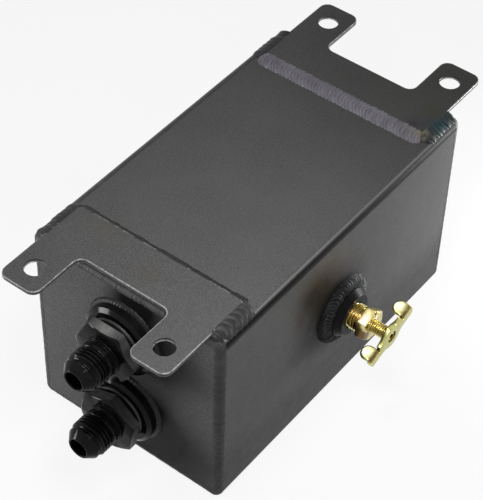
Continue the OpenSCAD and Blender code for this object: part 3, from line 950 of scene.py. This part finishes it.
def tab_part(side):
    """Folded thumb tab: a quarter bend off the plate's edge, then a half-round lobe."""
    mid_r = FOLD_R_OUT - SHEET_T / 2
    bend = mid_r * math.pi / 2
    straight_l = TAB_DEEP - (ARM_END - TAB_START) / 2
    half = (ARM_END - TAB_START) / 2
    centre_y = (ARM_END + TAB_START) / 2
    soft = 0.6
    rows = []
    total = bend + straight_l + half
    count = 30
    for i in range(count + 1):
        s = total * math.sin(math.pi / 2 * i / count)
        past = max(0.0, s - bend - straight_l)
        wide = math.sqrt(max(half * half - past * past, 0.0))
        front = []
        back = []
        for j in range(17):
            v = math.sin(math.pi / 2 * (j / 8 - 1))
            y = wide * v
            gap = half - math.hypot(past, y) if past > 0 else half - abs(y)
            thin = 1 - max(0.0, 1 - gap / soft)
            t = SHEET_T / 2 * math.sqrt(max(0.0, 1 - (1 - thin) ** 2))
            if s < bend:
                a = s / mid_r
                cx = FOLD_R_OUT - ARM_HALF
                ch = HANDLE_FRONT - FOLD_R_OUT
                radii = [mid_r + o for o in (t, -t)]
                place = [(cx - r * math.sin(a), ch + r * math.cos(a)) for r in radii]
            else:
                h = HANDLE_FRONT - FOLD_R_OUT - (s - bend)
                place = [(-ARM_HALF + SHEET_T / 2 - o, h) for o in (t, -t)]
            for row, (x, h) in zip((front, back), place):
                row.append(place_handle(x, side * (centre_y + y), h))
        rows.append(front + list(reversed(back)) + [front[0]])
    return strip(rows, False)


def handle_bar():
    """Flat sheet with the stem's hole and both folded tabs."""
    outline, flags = handle_outline()
    hole = arc(0, 0, 2.56, 0, 360, 40)[:-1]
    low = HANDLE_FRONT - SHEET_T
    holes = [list(reversed(hole))]
    verts, faces = plate_part(outline, flags, holes, low, HANDLE_FRONT, edge=0.28)
    verts = [place_handle(*v) for v in verts]
    parts = [(verts, faces), tab_part(1), tab_part(-1)]
    piece("handle_bar", parts, PALE, ["drain_handle"], body="handle", sharp=40)


def bracket_plate(name, sign):
    """Bracket plate with the solid's outline, its edges rounded, worn and lightened as a painted
    highlight, and two bolt holes.
    """
    half = BRACKET_W / 2
    inner = half - EAR_W
    seat = BRACKET_SEAT_Y
    right = arc(half - SEAT_R, seat + SEAT_R, SEAT_R, -90, 0, 6)
    right += arc(half - EAR_R, EAR_Y - EAR_R, EAR_R, 0, 90, 10)
    right += arc(inner + EAR_R, EAR_Y - EAR_R, EAR_R, 90, 180, 10)
    right += arc(inner - NOTCH_R, NOTCH_Y + NOTCH_R, NOTCH_R, 0, -90, 10)
    outline = right + [(-x, y) for x, y in reversed(right)]
    holes = []
    for side in (-1, 1):
        circle = arc(side * MOUNT_X, MOUNT_Y, MOUNT_R, 0, 360, 48)[:-1]
        holes.append(list(reversed(circle)))
    flags = [False] * len(outline)
    verts, faces = plate_part(outline, flags, holes, TANK_H, TANK_H + BRACKET_T, edge=0.36)
    parts = [([(x, sign * y, z) for x, y, z in verts], faces)]
    nodes = [name + "_bracket"]
    piece(name + "_bracket_plate", parts, PLATE, nodes, sharp=28, rim=RIM_WEAR_AND_SHEEN)


# ---------------------------------------------------------------- stage
def place_camera():
    a = math.radians(CAMERA_AZIMUTH)
    e = math.radians(CAMERA_ELEVATION)
    back = Vector((math.sin(a) * math.cos(e), -math.cos(a) * math.cos(e), math.sin(e)))
    level = Vector((math.cos(a), math.sin(a), 0))
    above = back.cross(level)
    c = math.cos(math.radians(CAMERA_ROLL))
    s = math.sin(math.radians(CAMERA_ROLL))
    right = c * level + s * above
    up = c * above - s * level
    data = bpy.data.cameras.new("camera")
    data.lens = FOCAL_LENGTH
    data.sensor_width = SENSOR
    data.clip_start = 0.01
    data.clip_end = 20
    camera = bpy.data.objects.new("camera", data)
    bpy.context.scene.collection.objects.link(camera)
    turn = Matrix((right, up, back)).transposed()
    where = AIM_RIGHT * right + AIM_UP * up + CAMERA_DISTANCE * back
    camera.matrix_world = Matrix.Translation(where) @ turn.to_4x4()
    bpy.context.scene.camera = camera


def seen_white(tree):
    """1 for rays from the camera and for mirror-like or clear ones, 0 for the rest."""
    path = tree.nodes.new("ShaderNodeLightPath")
    total = path.outputs["Is Camera Ray"]
    for extra in ("Is Glossy Ray", "Is Transmission Ray"):
        add = tree.nodes.new("ShaderNodeMath")
        add.operation = "MAXIMUM"
        tree.links.new(total, add.inputs[0])
        tree.links.new(path.outputs[extra], add.inputs[1])
        total = add.outputs[0]
    return total


def make_stage():
    """Floor that is almost plain white to the camera and still takes a faint shadow."""
    mesh = bpy.data.meshes.new("floor")
    h = FLOOR_HALF
    mesh.from_pydata([(-h, -h, 0), (h, -h, 0), (h, h, 0), (-h, h, 0)], [], [(0, 1, 2, 3)])
    floor = bpy.data.objects.new("floor", mesh)
    bpy.context.scene.collection.objects.link(floor)
    mat, tree, bsdf = new_material("floor")
    bsdf.inputs["Base Color"].default_value = (0.85, 0.85, 0.85, 1)
    bsdf.inputs["Roughness"].default_value = 0.9
    glow = tree.nodes.new("ShaderNodeEmission")
    part = tree.nodes.new("ShaderNodeMath")
    part.operation = "MULTIPLY"
    part.inputs[1].default_value = FLOOR_GLOW
    tree.links.new(seen_white(tree), part.inputs[0])
    mix = tree.nodes.new("ShaderNodeMixShader")
    tree.links.new(part.outputs[0], mix.inputs[0])
    tree.links.new(bsdf.outputs[0], mix.inputs[1])
    tree.links.new(glow.outputs[0], mix.inputs[2])
    tree.links.new(mix.outputs[0], tree.nodes["Material Output"].inputs[0])
    mesh.materials.append(mat)


def area_light(name, place, aim, size, power):
    data = bpy.data.lights.new(name, "AREA")
    data.shape = "RECTANGLE"
    data.size, data.size_y = size
    data.energy = power
    lamp = bpy.data.objects.new(name, data)
    lamp.visible_camera = False
    bpy.context.scene.collection.objects.link(lamp)
    lamp.location = place
    lamp.rotation_euler = (Vector(place) - Vector(aim)).to_track_quat("Z", "Y").to_euler()


def make_light():
    """White surroundings for seen and mirrored rays, a weak level for the rest, and the lamps."""
    world = bpy.data.worlds.new("world")
    bpy.context.scene.world = world
    world.use_nodes = True
    tree = world.node_tree
    background = tree.nodes["Background"]
    background.inputs[0].default_value = (1, 1, 1, 1)
    level = tree.nodes.new("ShaderNodeMapRange")
    level.inputs["To Min"].default_value = WORLD_LOW
    level.inputs["To Max"].default_value = WORLD_SEEN
    tree.links.new(seen_white(tree), level.inputs["Value"])
    tree.links.new(level.outputs[0], background.inputs[1])
    for name, place, size, power in LAMPS:
        area_light(name, place, LAMP_AIM, size, power)


finish_nodes()
place_camera()
end_bead("front_end_bead", "front_end_weld", -1)
end_bead("rear_end_bead", "rear_end_weld", 1)
seam_bead()
bracket_beads("front", -1, (2.4, 0.26, 0.9, 0.15), (2.7, 0.30, 1.0, 0.15))
bracket_beads("rear", 1, (2.4, 0.06, 1.2, 0.05), (1.9, 0.20, 1.0, 0.10))
wide_bead()
edge_shade_line()
port_rings()
drain_ring()
for port in PORT_Z:
    port_fitting(port, PORT_Z[port], PORT_TURN[port])
cock_body()
cock_stem()
bracket_plate("front", -1)
bracket_plate("rear", 1)
handle_bar()
make_stage()
make_light()
bpy.context.scene.view_settings.view_transform = "Standard"
